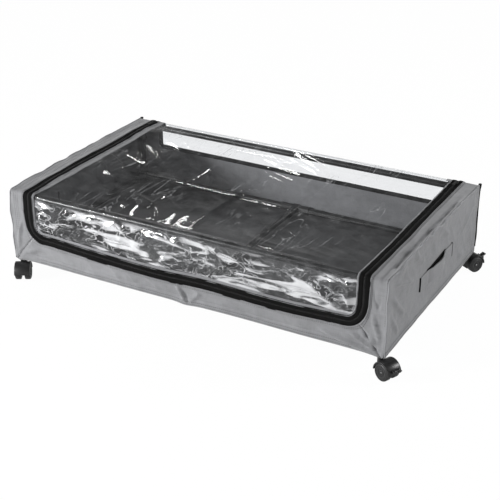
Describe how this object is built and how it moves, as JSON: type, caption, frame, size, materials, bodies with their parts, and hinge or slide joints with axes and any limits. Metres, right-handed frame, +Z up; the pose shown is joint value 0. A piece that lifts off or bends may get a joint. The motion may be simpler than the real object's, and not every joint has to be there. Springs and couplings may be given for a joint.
{
  "type": "under bed box",
  "caption": "Low rolling storage box: tube frame in a grey fabric cover, clear zipped lid that folds back, end handles and swivel casters, two of them braked.",
  "frame": {"origin": "on the floor under the middle of the box", "axes": "+X towards the right-hand end with a handle, +Y towards the rear edge where the lid hinges, +Z up"},
  "size_m": [0.8642, 0.5265, 0.1961],
  "materials": {
    "frame_tube": "satin black powder coat",
    "connector": "moulded black plastic",
    "caster_plastic": "satin black moulded plastic",
    "pin_steel": "plated steel",
    "cover_fabric": "mid grey woven polyester",
    "webbing": "grey woven strip, box stitched",
    "zipper": "black woven tape with a plastic coil",
    "clear_sheet": "clear glossy flexible sheet"
  },
  "bodies": {
    "box": {"bottom_front_left_connector": "connector", "top_front_left_connector": "connector", "front_left_post": "frame_tube", "bottom_front_right_connector": "connector", "top_front_right_connector": "connector", "front_right_post": "frame_tube", "middle_front_connector": "connector", "bottom_front_rail": "frame_tube", "top_front_rail": "frame_tube", "bottom_back_left_connector": "connector", "top_back_left_connector": "connector", "back_left_post": "frame_tube", "bottom_back_right_connector": "connector", "top_back_right_connector": "connector", "back_right_post": "frame_tube", "middle_back_connector": "connector", "bottom_back_rail": "frame_tube", "top_back_rail": "frame_tube", "bottom_left_rail": "frame_tube", "top_left_rail": "frame_tube", "end_panel_left": "cover_fabric", "handle_left": "webbing", "bottom_right_rail": "frame_tube", "top_right_rail": "frame_tube", "end_panel_right": "cover_fabric", "handle_right": "webbing", "cross_bar": "frame_tube", "front_wrap": "cover_fabric", "back_panel": "cover_fabric", "back_window": "clear_sheet", "bottom_panel": "cover_fabric", "zipper_tape": "zipper"},
    "lid": {"lid_border": "cover_fabric", "lid_window": "clear_sheet"},
    "slider_left": {"zipper_slider_left": "zipper"},
    "tab_left": {"pull_tab_left": "zipper"},
    "slider_right": {"zipper_slider_right": "zipper"},
    "tab_right": {"pull_tab_right": "zipper"},
    "caster_front_left": {"caster_front_left_hood": "caster_plastic", "caster_front_left_stem": "pin_steel"},
    "caster_front_left_wheels": {"caster_front_left_wheel_a": "caster_plastic", "caster_front_left_wheel_b": "caster_plastic", "caster_front_left_axle": "pin_steel"},
    "caster_front_right": {"caster_front_right_hood": "caster_plastic", "caster_front_right_stem": "pin_steel"},
    "caster_front_right_wheels": {"caster_front_right_wheel_a": "caster_plastic", "caster_front_right_wheel_b": "caster_plastic", "caster_front_right_axle": "pin_steel"},
    "caster_front_right_brake": {"caster_front_right_brake_pedal": "caster_plastic"},
    "caster_back_left": {"caster_back_left_hood": "caster_plastic", "caster_back_left_stem": "pin_steel"},
    "caster_back_left_wheels": {"caster_back_left_wheel_a": "caster_plastic", "caster_back_left_wheel_b": "caster_plastic", "caster_back_left_axle": "pin_steel"},
    "caster_back_right": {"caster_back_right_hood": "caster_plastic", "caster_back_right_stem": "pin_steel"},
    "caster_back_right_wheels": {"caster_back_right_wheel_a": "caster_plastic", "caster_back_right_wheel_b": "caster_plastic", "caster_back_right_axle": "pin_steel"},
    "caster_back_right_brake": {"caster_back_right_brake_pedal": "caster_plastic"}
  },
  "joints": [
    {"name": "lid_hinge", "type": "hinge", "parent": "box", "child": "lid", "pos_m": [0, 0.232, 0.18975], "axis": [-1, 0, 0], "range_deg": [0, 180]},
    {"name": "slider_left_slide", "type": "slide", "parent": "lid", "child": "slider_left", "axis": [0, -1, 0], "range_m": [0, 0.42]},
    {"name": "tab_left_flip", "type": "hinge", "parent": "slider_left", "child": "tab_left", "pos_m": [-0.356, 0.2175, 0.1946], "axis": [-1, 0, 0], "range_deg": [0, 180]},
    {"name": "slider_right_slide", "type": "slide", "parent": "lid", "child": "slider_right", "axis": [0, -1, 0], "range_m": [0, 0.42]},
    {"name": "tab_right_flip", "type": "hinge", "parent": "slider_right", "child": "tab_right", "pos_m": [0.356, 0.2175, 0.1946], "axis": [-1, 0, 0], "range_deg": [0, 180]},
    {"name": "caster_front_left_swivel", "type": "hinge", "parent": "box", "child": "caster_front_left", "pos_m": [-0.3896, -0.2216, 0.045], "axis": [0, 0, 1], "continuous": true},
    {"name": "caster_front_left_roll", "type": "hinge", "parent": "caster_front_left", "child": "caster_front_left_wheels", "pos_m": [-0.38184, -0.23559, 0.0165], "axis": [0.8746, 0.4848, 0], "continuous": true},
    {"name": "caster_front_right_swivel", "type": "hinge", "parent": "box", "child": "caster_front_right", "pos_m": [0.3896, -0.2216, 0.045], "axis": [0, 0, 1], "continuous": true},
    {"name": "caster_front_right_roll", "type": "hinge", "parent": "caster_front_right", "child": "caster_front_right_wheels", "pos_m": [0.40422, -0.22811, 0.0165], "axis": [0.4067, 0.9135, 0], "continuous": true},
    {"name": "caster_front_right_brake_press", "type": "hinge", "parent": "caster_front_right", "child": "caster_front_right_brake", "pos_m": [0.42353, -0.23671, 0.02504], "axis": [0.4067, 0.9135, 0], "range_deg": [0, 25]},
    {"name": "caster_back_left_swivel", "type": "hinge", "parent": "box", "child": "caster_back_left", "pos_m": [-0.3896, 0.2216, 0.045], "axis": [0, 0, 1], "continuous": true},
    {"name": "caster_back_left_roll", "type": "hinge", "parent": "caster_back_left", "child": "caster_back_left_wheels", "pos_m": [-0.40346, 0.2296, 0.0165], "axis": [-0.5, -0.866, 0], "continuous": true},
    {"name": "caster_back_right_swivel", "type": "hinge", "parent": "box", "child": "caster_back_right", "pos_m": [0.3896, 0.2216, 0.045], "axis": [0, 0, 1], "continuous": true},
    {"name": "caster_back_right_roll", "type": "hinge", "parent": "caster_back_right", "child": "caster_back_right_wheels", "pos_m": [0.3976, 0.23546, 0.0165], "axis": [-0.866, 0.5, 0], "continuous": true},
    {"name": "caster_back_right_brake_press", "type": "hinge", "parent": "caster_back_right", "child": "caster_back_right_brake", "pos_m": [0.40817, 0.25376, 0.02504], "axis": [-0.866, 0.5, 0], "range_deg": [0, 25]}
  ]
}
